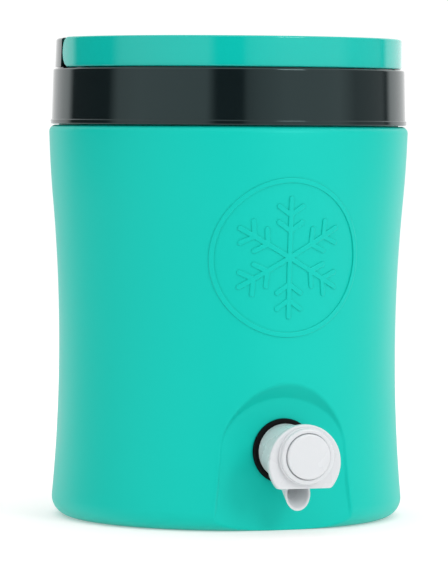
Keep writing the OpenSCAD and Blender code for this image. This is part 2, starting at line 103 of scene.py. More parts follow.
def rounded(corners: Sequence[Sequence[float]], radii: Sequence[float], steps: int = 5,
            closed: bool = True) -> Array:
    """Outline through corners, each turned into an arc that is tangent to both of its sides.

    A corner's arc starts radius * tan(half the turn) before it, and each side keeps a short flat
    strip beside every arc, so that smooth shading doesn't spread over the flats.

    Args:
        corners: Corner points in order.
        radii: Radius at each corner; at an open outline's two ends it isn't used.
        steps: Chords in each arc.
        closed: Whether the last corner joins the first.

    Returns:
        Array of points along the outline.
    """
    p = np.asarray(corners, float)
    r = np.maximum(np.asarray(radii, float), 2e-5)
    ahead, back = np.roll(p, -1, 0) - p, p - np.roll(p, 1, 0)
    out = ahead / np.maximum(np.linalg.norm(ahead, axis=1, keepdims=True), 1e-12)
    into = back / np.maximum(np.linalg.norm(back, axis=1, keepdims=True), 1e-12)
    cross = into[:, 0] * out[:, 1] - into[:, 1] * out[:, 0]
    turn = np.arctan2(cross, np.einsum("ij,ij->i", into, out))
    side = np.stack([-into[:, 1], into[:, 0]], -1) * np.sign(turn)[:, None]
    size = np.abs(turn)
    reach = r * np.tan(size / 2)
    start = p - into * reach[:, None]
    a = size[:, None] * np.linspace(0, 1, steps + 1)[None]
    bow = (start[:, None] + r[:, None, None] * (np.sin(a)[..., None] * into[:, None]
                                                + (1 - np.cos(a))[..., None] * side[:, None]))
    strip = np.minimum(0.2 * r, 2e-4)[:, None]
    before = start - into * strip
    after = p + out * (reach[:, None] + strip)
    ring = np.concatenate([before[:, None], bow, after[:, None]], 1)
    if closed:
        return ring.reshape(-1, 2)
    return np.concatenate([p[:1], ring[1:-1].reshape(-1, 2), p[-1:]])


def turned(outline: Array, columns: int) -> Array:
    """Surface of revolution about Z: (radius * cos, radius * sin, height) for evenly spread angles.

    Args:
        outline: Points of (radius, height).
        columns: Number of angles.

    Returns:
        Grid of points, one row for each point of the outline.
    """
    a = np.linspace(0, 2 * np.pi, columns, endpoint=False)
    r, z = outline[:, 0, None], outline[:, 1, None]
    return np.stack([r * np.cos(a), r * np.sin(a), np.broadcast_to(z, (len(outline), columns))], -1)


def pill(length: float, half_width: float, section: Array, spacing: float, end_steps: int = 14) -> Array:
    """Pill-shaped slab: a middle line of this length, with its outline half_width away all round.

    A point is the middle line's point plus (half_width - inset) times the outline's normal, at the
    section's height. An inset equal to half_width falls on the middle line and closes the slab.

    Args:
        length: Length of the middle line.
        half_width: Distance from the middle line to the outline.
        section: Points of (inset, height) from the lower middle round the edge to the upper middle.
        spacing: Distance between points along the straight sides.
        end_steps: Chords round each end.

    Returns:
        Grid of (along, across, height), one row for each point of the section.
    """
    count = max(int(length / spacing), 1)
    along = np.linspace(-length / 2, length / 2, count + 1)
    half = np.linspace(-np.pi / 2, np.pi / 2, end_steps + 1)[1:-1]
    middle = np.concatenate([along, np.full(half.size, length / 2), along[::-1],
                             np.full(half.size, -length / 2)])
    angle = np.concatenate([np.full(along.size, -np.pi / 2), half, np.full(along.size, np.pi / 2),
                            half + np.pi])
    reach = half_width - section[:, 0, None]
    return np.stack([middle + reach * np.cos(angle), reach * np.sin(angle),
                     np.broadcast_to(section[:, 1, None], (len(section), middle.size))], -1)


def slab_section(half_width: float, low: float, high: float, low_edge: float, high_edge: float,
                 steps: int = 5) -> Array:
    """Section of a flat slab with rounded edges, from its lower middle to its upper middle.

    Args:
        half_width: Inset of the middle.
        low: Height of the lower face.
        high: Height of the upper face.
        low_edge: Rounding of the lower edge.
        high_edge: Rounding of the upper edge.
        steps: Chords in each rounding.

    Returns:
        Points of (inset, height).
    """
    return rounded([(half_width, low), (0, low), (0, high), (half_width, high)],
                   [0, low_edge, high_edge, 0], steps, closed=False)


def soft_min(a: Array, b: Array, width: float) -> Array:
    """The smaller of two surfaces, blended by a parabola where they are within width of each other."""
    h = np.clip(0.5 + 0.5 * (b - a) / width, 0, 1)
    return b + (a - b) * h - width * h * (1 - h)


def soft_max(a: Array, b: Array, width: float) -> Array:
    """The larger of two surfaces, blended by a parabola where they are within width of each other."""
    return -soft_min(-a, -b, width)


def ramp(x: Array, start: float, end: float) -> Array:
    """0 before start, 1 after end, and a smooth S between them."""
    t = np.clip((x - start) / (end - start), 0, 1)
    return t * t * (3 - 2 * t)


def grid_quads(rows: int, columns: int, wrap: Wrap) -> Array:
    """Corner numbers of the four-sided faces between neighbouring points of a grid."""
    wrap_rows, wrap_columns = wrap.value
    i, j = np.meshgrid(np.arange(rows if wrap_rows else rows - 1),
                       np.arange(columns if wrap_columns else columns - 1), indexing="ij")
    up, on = (i + 1) % rows, (j + 1) % columns
    return np.stack([i * columns + j, i * columns + on, up * columns + on, up * columns + j],
                    -1).reshape(-1, 4)


@dataclass(frozen=True)
class Patch:
    """A grid of points and the ways in which it closes."""

    points: Array
    wrap: Wrap = Wrap.ROUND


@dataclass(frozen=True)
class Bore:
    """A round hole along Y through the wall in front: the wall's grid is opened inside its circle."""

    z: float
    radius: float
    beyond: float

    def open(self, points: Array, quads: Array) -> tuple[Array, Array]:
        """Takes out the quads inside the circle and brings the rims that this leaves onto it.

        Args:
            points: Points of the whole mesh.
            quads: Its quads, as rows of four point numbers.

        Returns:
            The points with the rims moved, and the quads that stay.
        """
        middle = points[quads].mean(1)
        gone = (np.hypot(middle[:, 0], middle[:, 2] - self.z) < self.radius) & (middle[:, 1] < -self.beyond)
        rim = np.intersect1d(quads[gone], quads[~gone])
        moved = points.copy()
        flat = points[rim][:, ::2] - (0, self.z)
        flat *= self.radius / np.hypot(flat[:, 0], flat[:, 1])[:, None]
        moved[rim, 0], moved[rim, 2] = flat[:, 0], flat[:, 1] + self.z
        return moved, quads[~gone]


def make_piece(name: str, patches: Sequence[Patch], material: bpy.types.Material, body: Body,
               replaces: Sequence[str] = (), sharp: float = 50.0, bore: Bore | None = None) -> bpy.types.Object:
    """Makes one closed mesh from patches, merges their seams and poles and turns faces outwards.

    Args:
        name: Name of the piece.
        patches: Surfaces that make it up.
        material: Its finish.
        body: Body that it moves with.
        replaces: CAD nodes that it stands for.
        sharp: Angle in degrees past which an edge isn't shaded smooth.
        bore: Hole through the piece's wall.

    Returns:
        The finished object, with its place in its mesh.
    """
    points, quads, first = [], [], 0
    for patch in patches:
        rows, columns = patch.points.shape[:2]
        points.append(patch.points.reshape(-1, 3))
        quads.append(grid_quads(rows, columns, patch.wrap) + first)
        first += rows * columns
    all_points, all_quads = np.concatenate(points), np.concatenate(quads)
    if bore:
        all_points, all_quads = bore.open(all_points, all_quads)
    mesh = bpy.data.meshes.new(name)
    mesh.from_pydata(all_points.tolist(), [], all_quads.tolist())
    work = bmesh.new()
    work.from_mesh(mesh)
    bmesh.ops.remove_doubles(work, verts=work.verts, dist=2e-6)
    bmesh.ops.dissolve_degenerate(work, edges=work.edges, dist=1e-7)
    if bore:
        loose = [vert for vert in work.verts if not vert.link_faces]
        bmesh.ops.delete(work, geom=loose, context="VERTS")
        bmesh.ops.bridge_loops(work, edges=[edge for edge in work.edges if edge.is_boundary])
    bmesh.ops.recalc_face_normals(work, faces=work.faces)
    work.to_mesh(mesh)
    work.free()
    mesh.validate()
    mesh.shade_smooth()
    mesh.set_sharp_from_angle(angle=math.radians(sharp))
    mesh.materials.append(material)
    piece = bpy.data.objects.new(name, mesh)
    bpy.context.scene.collection.objects.link(piece)
    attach(piece, body.value)
    if replaces:
        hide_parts(*replaces)
    triangles = sum(len(p.vertices) - 2 for p in mesh.polygons)
    LOG.info("%s: %d triangles on %s", name, triangles, body.value)
    return piece


# ---------------------------------------------------------------- finishes


@dataclass(frozen=True)
class Moulding:
    """A moulded plastic or rubber: a fine skin of pores, a faint mottle and a roughness that wanders.

    The skin is noise of skin_scale waves a metre through Bump, the mottle is slow noise between
    two shades of the colour, and the same slow noise shifts the roughness.
    """

    name: str
    colour: tuple[float, float, float]
    rough: float = 0.35
    rough_spread: float = 0.05
    mottle: float = 0.03
    mottle_scale: float = 9.0
    skin_scale: float = 900.0
    skin_height: float = 0.00001
    skin_strength: float = 0.25
    scatter: float = 0.0
    metal: float = 0.0
    specular: float = 0.5
    tint: tuple[float, float, float] = (1.0, 1.0, 1.0)

    def build(self) -> bpy.types.Material:
        """Makes the material.

        Returns:
            A node material that reads only Object coordinates.
        """
        material = bpy.data.materials.new(self.name)
        material.use_nodes = True
        nodes, links = material.node_tree.nodes, material.node_tree.links
        nodes.clear()
        output = nodes.new("ShaderNodeOutputMaterial")
        shader = nodes.new("ShaderNodeBsdfPrincipled")
        links.new(shader.outputs["BSDF"], output.inputs["Surface"])
        shader.inputs["Metallic"].default_value = self.metal
        shader.inputs["Specular IOR Level"].default_value = self.specular
        shader.inputs["Specular Tint"].default_value = (*self.tint, 1)
        if self.scatter:
            shader.inputs["Subsurface Weight"].default_value = self.scatter
            shader.inputs["Subsurface Scale"].default_value = 0.002
            shader.inputs["Subsurface Radius"].default_value = (1.0, 1.0, 0.9)
        place = nodes.new("ShaderNodeTexCoord")
        slow = nodes.new("ShaderNodeTexNoise")
        slow.inputs["Scale"].default_value = self.mottle_scale
        slow.inputs["Detail"].default_value = 4.0
        links.new(place.outputs["Object"], slow.inputs["Vector"])
        shade = nodes.new("ShaderNodeMix")
        shade.data_type = "RGBA"
        c = np.array(self.colour)
        shade.inputs["A"].default_value = (*np.clip(c * (1 - self.mottle), 0, 1), 1)
        shade.inputs["B"].default_value = (*np.clip(c * (1 + self.mottle), 0, 1), 1)
        links.new(slow.outputs["Fac"], shade.inputs["Factor"])
        links.new(shade.outputs["Result"], shader.inputs["Base Color"])
        gloss = nodes.new("ShaderNodeMapRange")
        gloss.inputs["From Min"].default_value = 0.3
        gloss.inputs["From Max"].default_value = 0.7
        gloss.inputs["To Min"].default_value = max(self.rough - self.rough_spread, 0.02)
        gloss.inputs["To Max"].default_value = min(self.rough + self.rough_spread, 1.0)
        links.new(slow.outputs["Fac"], gloss.inputs["Value"])
        links.new(gloss.outputs["Result"], shader.inputs["Roughness"])
        skin = nodes.new("ShaderNodeTexNoise")
        skin.inputs["Scale"].default_value = self.skin_scale
        skin.inputs["Detail"].default_value = 3.0
        links.new(place.outputs["Object"], skin.inputs["Vector"])
        bump = nodes.new("ShaderNodeBump")
        bump.inputs["Strength"].default_value = self.skin_strength
        bump.inputs["Distance"].default_value = self.skin_height
        links.new(skin.outputs["Fac"], bump.inputs["Height"])
        links.new(bump.outputs["Normal"], shader.inputs["Normal"])
        return material


BODY_TURQUOISE = Moulding("body_turquoise", (0.003, 0.540, 0.445), rough=0.42, rough_spread=0.04,
                          mottle=0.025, skin_scale=1100, skin_height=0.00002, skin_strength=0.3,
                          tint=(0.25, 1.0, 1.0))
HANDLE_TURQUOISE = Moulding("handle_turquoise", (0.003, 0.490, 0.415), rough=0.10, rough_spread=0.03,
                            mottle=0.015, skin_scale=260, skin_height=0.00001, skin_strength=0.08,
                            tint=(0.85, 1.0, 1.0))
COLLAR_CHARCOAL = Moulding("collar_charcoal", (0.005, 0.010, 0.011), rough=0.09, rough_spread=0.03,
                           mottle=0.15, skin_scale=240, skin_height=0.00001, skin_strength=0.08,
                           specular=0.56, tint=(0.72, 1.0, 1.0))
TAP_WHITE = Moulding("tap_white", (0.66, 0.69, 0.71), rough=0.28, rough_spread=0.04, mottle=0.010,
                     mottle_scale=40, skin_scale=1400, skin_height=0.000004, skin_strength=0.15, scatter=0.1)
LINER_WHITE = Moulding("liner_white", (0.78, 0.78, 0.75), rough=0.45, rough_spread=0.05, mottle=0.02,
                       skin_scale=1000, skin_strength=0.25, scatter=0.1)
SEAL_BLACK = Moulding("seal_black", (0.0015, 0.002, 0.0025), rough=0.6, rough_spread=0.08, mottle=0.2,
                      mottle_scale=60, skin_scale=1600, skin_height=0.00003, skin_strength=0.4,
                      specular=0.12)
FOAM_CREAM = Moulding("foam_cream", (0.82, 0.72, 0.45), rough=0.9, rough_spread=0.05, mottle=0.08,
                      mottle_scale=120, skin_scale=500, skin_height=0.0004, skin_strength=0.6)
PLUG_CHARCOAL = Moulding("plug_charcoal", (0.010, 0.013, 0.014), rough=0.5, rough_spread=0.06,
                         mottle=0.15, skin_scale=1200, skin_height=0.00002, skin_strength=0.4)
SPRING_STEEL = Moulding("spring_steel", (0.62, 0.62, 0.61), rough=0.25, rough_spread=0.08, mottle=0.06,
                        mottle_scale=300, skin_scale=3000, skin_height=0.000005, metal=1.0)
FINISHES = (BODY_TURQUOISE, HANDLE_TURQUOISE, COLLAR_CHARCOAL, TAP_WHITE, LINER_WHITE, SEAL_BLACK,
            FOAM_CREAM, PLUG_CHARCOAL, SPRING_STEEL)


# ---------------------------------------------------------------- the jug's mouldings


@dataclass
class OuterShell:
    """The outer body: foot rounding, inward curve, shoulder curve and top rounding, each tangent to
    the next, with an arched recess for the tap, a foot groove and the neck that the collar covers."""

    height: float = 0.2334
    waist_r: float = 0.10085
    waist_z: float = 0.100
    waist_curve_r: float = 0.970
    foot_round: float = 0.011
    shoulder_len: float = 0.0454
    shoulder_curve_r: float = 0.700
    top_round: float = 0.004
    wall: float = 0.0024
    neck_step: float = 0.0058
    neck_h: float = 0.0266
    groove_r: float = 0.084
    groove_w: float = 0.005
    groove_depth: float = 0.001
    plug_hole_y: float = 0.045
    plug_hole_r: float = 0.007
    tap_z: float = 0.046
    recess_depth: float = 0.00685
    recess_half_w: float = 0.038
    recess_arch_h: float = 0.0305
    recess_lean: float = 0.0016
    recess_arch_spread: float = 0.020
    recess_low_drop: float = 0.0195
    recess_low_w: float = 0.0392
    recess_foot_w: float = 0.0415
    recess_reach: float = 0.016
    recess_wall_flare: float = 0.016
    recess_rim_flare: float = 0.0195
    edge_soft: float = 0.0009
    corner_soft: float = 0.0004
    fine_angle: float = math.radians(37)
    shank_hole_r: float = 0.0123
    front_from: float = 0.06
    fine_drop: float = 0.004

    def __post_init__(self) -> None:
        """Works out the centres and the tangent angles of the four arcs."""
        reach = self.waist_curve_r + self.foot_round
        self.waist_cx = self.waist_r + self.waist_curve_r
        self.foot_cx = self.waist_cx - math.sqrt(reach ** 2 - (self.waist_z - self.foot_round) ** 2)
        self.foot_angle = math.atan2(self.waist_z - self.foot_round, self.waist_cx - self.foot_cx)
        self.shoulder_angle = math.asin((self.height - self.shoulder_len - self.waist_z) / self.waist_curve_r)
        both = self.waist_curve_r + self.shoulder_curve_r
        self.shoulder_cx = self.waist_cx - both * math.cos(self.shoulder_angle)
        self.shoulder_cz = self.waist_z + both * math.sin(self.shoulder_angle)
        self.top_cz = self.height - self.top_round
        inner = self.shoulder_curve_r - self.top_round
        self.top_cx = self.shoulder_cx + math.sqrt(inner ** 2 - (self.top_cz - self.shoulder_cz) ** 2)
        self.top_angle = math.atan2(self.top_cz - self.shoulder_cz, self.top_cx - self.shoulder_cx)
        self.neck_r = self.top_cx + self.top_round - self.neck_step
        self.face = self.waist_r - self.recess_depth

    def side(self, inset: float, fine: bool) -> Array:
        """Outline of the wall from the foot's flat to the top's flat, moved in by inset.

        Args:
            inset: Distance in from the outside.
            fine: Whether the rows beside the recess lie close together.

        Returns:
            Points of (radius, height).
        """
        split = math.asin(self.fine_drop / self.waist_curve_r)
        foot, lower, upper, shoulder, top = (14, 118, 26, 14, 7) if fine else (5, 18, 8, 5, 3)
        c, r = (self.waist_cx, self.waist_z), self.waist_curve_r + inset
        return np.concatenate([
            arc((self.foot_cx, self.foot_round), self.foot_round - inset, -np.pi / 2, self.foot_angle,
                foot)[:-1],
            arc(c, r, np.pi + self.foot_angle, np.pi + split, lower)[:-1],
            arc(c, r, np.pi + split, np.pi - self.shoulder_angle, upper)[:-1],
            arc((self.shoulder_cx, self.shoulder_cz), self.shoulder_curve_r - inset, -self.shoulder_angle,
                self.top_angle, shoulder)[:-1],
            arc((self.top_cx, self.top_cz), self.top_round - inset, self.top_angle, np.pi / 2, top)])

    def radius_at(self, z: Array) -> Array:
        """Outer radius of the wall at heights between the foot and the top."""
        line = self.side(0, True)
        return np.interp(z, line[:, 1], line[:, 0])

    def recess_out(self, x: Array, z: Array) -> Array:
        """Distance out along -Y at which the recess's surface lies at (x, z).

        Above the tap's axis the rim at depth u is an ellipse whose half axes grow evenly with u, and u is
        found by halving; below it the sides spread in straight lines and the flat leans out.

        Args:
            x: Distances across.
            z: Heights.

        Returns:
            The surface's distance from the jug's axis.
        """
        up = np.maximum(z - self.tap_z, 1e-9)
        low, high = np.zeros_like(x), np.full_like(x, 0.06)
        for _ in range(26):
            u = (low + high) / 2
            wide = self.recess_half_w + self.recess_wall_flare * u / self.recess_reach
            high_up = self.recess_arch_h + self.recess_arch_spread * u / self.recess_reach
            inside = (x / wide) ** 2 + (up / high_up) ** 2 < 1
            high, low = np.where(inside, u, high), np.where(inside, low, u)
        arch = (low + high) / 2
        down = np.maximum(self.tap_z - z, 0)
        foot = self.tap_z
        flat_w = np.interp(down, [0, self.recess_low_drop, foot],
                           [self.recess_half_w, self.recess_low_w, self.recess_foot_w])
        rim_w = self.recess_half_w + self.recess_wall_flare + (
            self.recess_rim_flare - self.recess_wall_flare) * down / foot
        field = np.maximum(np.abs(x) - flat_w, 0) / np.maximum(rim_w - flat_w, 1e-4) * self.recess_reach
        wall = np.where(z > self.tap_z, arch, field)
        lean = self.recess_lean * np.clip((down - self.recess_low_drop) / (foot - self.recess_low_drop), 0, 1)
        flat_end = soft_max(lean, wall, self.corner_soft)
        return self.face + flat_end

    def pressed(self, points: Array, extra: float) -> Array:
        """Moves wall points along Y to the recess's surface where that lies further in.

        Args:
            points: Grid of wall points.
            extra: How much further in the recess lies for this skin.

        Returns:
            The grid with the recess in it.
        """
        x, out, z = points[..., 0], -points[..., 1], points[..., 2]
        near = (out > self.front_from) & (z < self.waist_z)
        blend = soft_min(out, self.recess_out(x, z) - extra, self.edge_soft)
        result = points.copy()
        result[..., 1] = -np.where(near, blend, out)
        return result

    def angles(self) -> Array:
        """Column angles from -Y: close together in front of the recess and wider apart behind it."""
        fine = np.linspace(-self.fine_angle, self.fine_angle, 176)
        rest = np.linspace(self.fine_angle, 2 * np.pi - self.fine_angle, 122)[1:-1]
        return np.concatenate([fine, rest])

    def build(self, material: bpy.types.Material) -> bpy.types.Object:
        """Makes the body as one closed surface: plug hole, underside, wall, neck and inner skin.

        Args:
            material: Finish of the body.

        Returns:
            The body.
        """
        a = self.angles()
        sin, cos = np.sin(a), -np.cos(a)

        def rows(line: Array) -> Array:
            return np.stack([line[:, 0, None] * sin, line[:, 0, None] * cos,
                             np.broadcast_to(line[:, 1, None], (len(line), a.size))], -1)

        hole = rows(np.array([(self.plug_hole_r, self.wall), (self.plug_hole_r, 0.0003),
                              (self.plug_hole_r + 0.0003, 0.0)]))
        hole[..., 1] += self.plug_hole_y
        g, w, d = self.groove_r, self.groove_w, self.groove_depth
        under = rows(rounded([(g - w - 0.003, 0), (g - w, 0), (g - w + 0.0004, d), (g - 0.0004, d), (g, 0),
                              (self.foot_cx - 0.0002, 0)], [0, .0004, .0003, .0003, .0004, 0], 3, closed=False))
        outer = self.pressed(rows(self.side(0, True)), 0)
        neck = rows(np.array([(self.neck_r, self.height), (self.neck_r, self.height + self.neck_h),
                              (self.neck_r - self.wall, self.height + self.neck_h),
                              (self.neck_r - self.wall, self.height - self.wall)]))
        inner = self.pressed(rows(self.side(self.wall, False)[::-1]), self.wall)
        whole = np.concatenate([hole, under, outer, neck, inner, hole[:1]])
        return make_piece("outer_body", [Patch(whole)], material, Body.JUG,
                          ["outer_shell"], sharp=42, bore=Bore(self.tap_z, self.shank_hole_r, self.front_from))


@dataclass
class FrostMark:
    """A raised six-armed frost star in a ring, moulded on the front of the body."""

    shell: OuterShell
    centre_z: float = 0.158
    ring_r: float = 0.046
    line: float = 0.003
    rise: float = 0.0008
    root: float = 0.0006
    edge: float = 0.00055
    margin: float = 0.012
    spacing: float = 0.0025
    sink: float = 0.00001
    spots: tuple[float, float] = (0.45, 0.72)
    branch_share: float = 0.26
    branch_turn: float = math.radians(55)

    def on_body(self, flat: Array) -> Array:
        """Lays (across, up, height) points on the body: out = sqrt((wall radius + height)^2 - across^2)."""
        x, z = flat[..., 0], flat[..., 1] + self.centre_z
        r = self.shell.radius_at(z) + flat[..., 2]
        return np.stack([x, -np.sqrt(r ** 2 - x ** 2), z], -1)

    def stroke(self, start: Array, turn: float, length: float, sink: float) -> Patch:
        """One round-ended line of the mark.

        Args:
            start: Where its middle line begins.
            turn: Its direction, in radians from straight up.
            length: Length of its middle line.
            sink: How much lower than the full rise its top lies, so that crossing lines don't coincide.

        Returns:
            The line's surface on the body.
        """
        half = self.line / 2
        flat = pill(length, half, slab_section(half, -self.root, self.rise - sink, 0, self.edge, 4),
                    self.spacing, 10)
        along = flat[..., 0] + length / 2
        way, across = (-math.sin(turn), math.cos(turn)), (math.cos(turn), math.sin(turn))
        x = start[0] + along * way[0] + flat[..., 1] * across[0]
        z = start[1] + along * way[1] + flat[..., 1] * across[1]
        return Patch(self.on_body(np.stack([x, z, flat[..., 2]], -1)))

    def build(self, material: bpy.types.Material) -> bpy.types.Object:
        """Makes the mark: the ring's section carried round a circle, three long bars and their branches.

        Args:
            material: Finish of the body.

        Returns:
            The mark.
        """
        r, w = self.ring_r, self.line
        section = rounded([(r - w, -self.root), (r, -self.root), (r, self.rise), (r - w, self.rise)],
                          [0, 0, self.edge, self.edge], 4)
        ring = turned(section, 180)
        patches = [Patch(self.on_body(ring), Wrap.BOTH)]
        arm = r - self.margin
        for bar in range(3):
            turn = bar * math.pi / 3
            foot = np.array([math.sin(turn), -math.cos(turn)]) * arm
            patches.append(self.stroke(foot, turn, 2 * arm, self.sink * bar))
        for index, (tip, side, spot) in enumerate(product(range(6), (1, -1), self.spots)):
            turn = tip * math.pi / 3
            start = np.array([-math.sin(turn), math.cos(turn)]) * spot * arm
            patches.append(self.stroke(start, turn + side * self.branch_turn, arm * self.branch_share,
                                       self.sink * (4 + index % 4)))
        return make_piece("frost_mark", patches, material, Body.JUG)


@dataclass
class Collar:
    """The dark collar: a lip, a band, a flat deck, and the ring round the lid, which is thin in front
    of the pivots, where the bail lies, and thick behind them."""

    low_z: float = 0.2339
    neck_r: float = 0.1020
    lip_r: float = 0.10664
    lip_h: float = 0.0026
    band_low_r: float = 0.10594
    band_top_r: float = 0.10514
    deck_z: float = 0.2668
    top_z: float = 0.2848
    bore_r: float = 0.09284
    front_r: float = 0.09834
    pad_x: float = 0.09784
    groove_r: float = 0.10244
    groove_h: float = 0.0006
    rear_low_r: float = 0.10404
    rear_top_r: float = 0.10344
    shoulder_y: float = 0.00545
    inner_z: float = 0.2626

    def outline(self, rear: bool) -> Array:
        """Closed section of the collar, with the same number of points in front and behind.

        Args:
            rear: Whether the thick ring stands on the deck here.

        Returns:
            Points of (radius, height).
        """
        foot_r = self.groove_r if rear else self.front_r
        low_r = self.rear_low_r if rear else self.front_r
        high_r = self.rear_top_r if rear else self.front_r
        g = self.groove_h
        corners = [(self.neck_r, self.low_z), (self.lip_r, self.low_z), (self.lip_r, self.low_z + self.lip_h),
                   (self.band_low_r, self.low_z + self.lip_h + 0.0002), (self.band_top_r, self.deck_z),
                   (foot_r, self.deck_z), (foot_r, self.deck_z + g), (low_r, self.deck_z + g + 1e-5),
                   (high_r, self.top_z), (self.bore_r, self.top_z), (self.bore_r, self.inner_z),
                   (self.neck_r, self.inner_z)]
        radii = [0.0004, 0.0007, 0.0005, 0.0002, 0.0012, 0.0002, 0.0001, 0.0003 if rear else 0.0001,
                 0.0015 if rear else 0.0010, 0.0010, 0.0002, 0.0002]
        return rounded(corners, radii, 5)

    def build(self, material: bpy.types.Material) -> bpy.types.Object:
        """Makes the collar: each section is carried round its own side of the shoulder planes.

        A section's point at an end column keeps its radius and lies in the shoulder plane, so its
        angle is the arcsine of shoulder_y over that radius.

        Args:
            material: Finish of the collar.

        Returns:
            The collar.
        """
        def fan(line: Array, start: Array, end: Array, columns: int) -> Array:
            share = np.linspace(0, 1, columns)
            a = start[:, None] + (end - start)[:, None] * share
            r = line[:, 0, None]
            return np.stack([r * np.cos(a), r * np.sin(a),
                             np.broadcast_to(line[:, 1, None], a.shape)], -1)

        front, rear = self.outline(False), self.outline(True)
        turn_f = np.arcsin(self.shoulder_y / front[:, 0])
        turn_r = np.arcsin(self.shoulder_y / rear[:, 0])
        back = fan(rear, turn_r, np.pi - turn_r, 110)
        fore = fan(front, np.pi - turn_f, 2 * np.pi + turn_f, 112)
        ring = (fore[..., 2] > self.deck_z - 1e-5) & (np.abs(fore[..., 0]) > self.pad_x)
        wall = ring & (np.hypot(fore[..., 0], fore[..., 1]) < self.front_r + 2e-4)
        fore[..., 0] = np.where(wall, np.sign(fore[..., 0]) * self.pad_x, fore[..., 0])
        whole = np.concatenate([back, fore], 1)
        return make_piece("collar_ring", [Patch(whole, Wrap.BOTH)], material, Body.JUG,
                          ["collar"], sharp=50)


@dataclass
class Bail:
    """The folding bail: a flat bar with rounded edges and round ends, bent to a half circle, and a
    headed stud at each end."""

    out_r: float = 0.10334
    thickness: float = 0.0040
    low_z: float = 0.26735
    height: float = 0.0179
    pivot_y: float = -0.0040
    edge: float = 0.0011
    stud_r: float = 0.0040
    head_r: float = 0.0049
    head_t: float = 0.0014
    head_x: float = 0.09314

    def build(self, material: bpy.types.Material) -> None:
        """Makes the bar by bending a pill-shaped slab round the jug, and turns the two studs.

        A slab point (along, across, height) goes to radius + height at the angle along / radius.

        Args:
            material: Finish of the bail.
        """
        mid_r = self.out_r - self.thickness / 2
        half_h, half_t = self.height / 2, self.thickness / 2
        pivot_z = self.low_z + half_h
        reach = 2 * mid_r * math.acos(-self.pivot_y / mid_r)
        flat = pill(reach, half_h, slab_section(half_h, -half_t, half_t, self.edge, self.edge, 6), 0.0022, 22)
        a, r = flat[..., 0] / mid_r, mid_r + flat[..., 2]
        bar = np.stack([r * np.sin(a), -r * np.cos(a), pivot_z + flat[..., 1]], -1)
        make_piece("bail_bar", [Patch(bar)], material, Body.BAIL, ["handle"])
        inner = self.out_r - self.thickness + 0.0006
        shaft = rounded([(0, self.head_x), (self.head_r, self.head_x), (self.head_r, self.head_x + self.head_t),
                         (self.stud_r, self.head_x + self.head_t), (self.stud_r, inner), (0, inner)],
                        [0, .0003, .0002, .0003, .0002, 0], 4, closed=False)
        spun = turned(shaft, 40)
        for side, label in ((1, "right"), (-1, "left")):
            stud = np.stack([side * spun[..., 2], self.pivot_y + spun[..., 0], pivot_z + spun[..., 1]], -1)
            make_piece(f"bail_stud_{label}", [Patch(stud)], material, Body.BAIL)


@dataclass
class Lid:
    """The screw lid's cap: a flat top with two finger wells that leave a grip bar between them."""

    top_z: float = 0.2836
    low_z: float = 0.2645
    radius: float = 0.09224
    rim: float = 0.0016
    well_r: float = 0.062
    well_depth: float = 0.011
    bar_half: float = 0.008
    corner: float = 0.006
    lip: float = 0.0012
    fillet: float = 0.0030
    draft: float = 0.0006

    def well_edge(self, bearings: Array) -> Array:
        """Distance from the well's middle to its edge at given bearings.

        The edge is a circle of well_r about the lid's axis cut off by a line bar_half from it, with
        its two corners rounded; the distance is read off that closed outline by its bearing.

        Args:
            bearings: Angles about the well's middle in radians.

        Returns:
            Distances.
        """
        end = math.asin((self.bar_half + self.corner) / (self.well_r - self.corner))
        centre_x = (self.well_r - self.corner) * math.cos(end)
        centre_y = self.bar_half + self.corner
        line = np.concatenate([
            arc((0, 0), self.well_r, end, np.pi - end, 240),
            arc((-centre_x, centre_y), self.corner, np.pi - end, 1.5 * np.pi, 30),
            np.stack([np.linspace(-centre_x, centre_x, 300), np.full(300, self.bar_half)], -1),
            arc((centre_x, centre_y), self.corner, -np.pi / 2, end, 30)])
        rel = line - [0, self.middle_y()]
        angle = np.mod(np.arctan2(rel[:, 1], rel[:, 0]), 2 * np.pi)
        order = np.argsort(angle)
        return np.interp(np.mod(bearings, 2 * np.pi), angle[order], np.hypot(*rel[order].T), period=2 * np.pi)

    def middle_y(self) -> float:
        """Distance from the lid's axis to the middle of a well."""
        return (self.bar_half + self.well_r) / 2

    def build(self, material: bpy.types.Material) -> bpy.types.Object:
        """Makes the cap: a turned rim and underside, and over each half a top ruled between the half
        disc's border and the well's lip, then the well's wall, corner and floor.

        Args:
            material: Finish of the lid.

        Returns:
            The cap.
        """
        top_r = self.radius - self.rim - 0.0003
        side = rounded([(top_r, self.top_z), (self.radius, self.top_z), (self.radius, self.low_z), (0, self.low_z)],
                       [0, self.rim, 0.0008, 0], 6, closed=False)
        columns = 192
        patches = [Patch(turned(side, columns))]
        steps = np.linspace(0, np.pi, columns // 2 + 1)
        rim = np.stack([top_r * np.cos(steps), top_r * np.sin(steps)], -1)
        chord = np.stack([np.linspace(-top_r, top_r, 92)[1:-1], np.zeros(90)], -1)
        border = np.concatenate([rim, chord])
        middle = np.array([0, self.middle_y()])
        bearing = np.arctan2(border[:, 1] - middle[1], border[:, 0] - middle[0])
        edge = self.well_edge(bearing)
        way = np.stack([np.cos(bearing), np.sin(bearing)], -1)
        depth = self.well_depth
        wall = rounded([(-0.002, 0), (0, 0), (self.draft, -depth), (0.012, -depth)],
                       [0, self.lip, self.fillet, 0], 6, closed=False)
        inset, drop = wall[:, 0, None], wall[:, 1, None]
        lofted = middle + way[None] * (edge[None] - inset)[..., None]
        ring = np.concatenate([border[None], lofted, middle + 0 * border[None]])
        z = self.top_z + np.concatenate([np.zeros((1, edge.size)), drop + 0 * edge[None],
                                         np.full((1, edge.size), -depth)])
        front = np.concatenate([ring, z[..., None]], -1)
        patches += [Patch(front), Patch(front * [-1, -1, 1])]
        return make_piece("lid_cap", patches, material, Body.LID, ["lid_shell"], sharp=50)


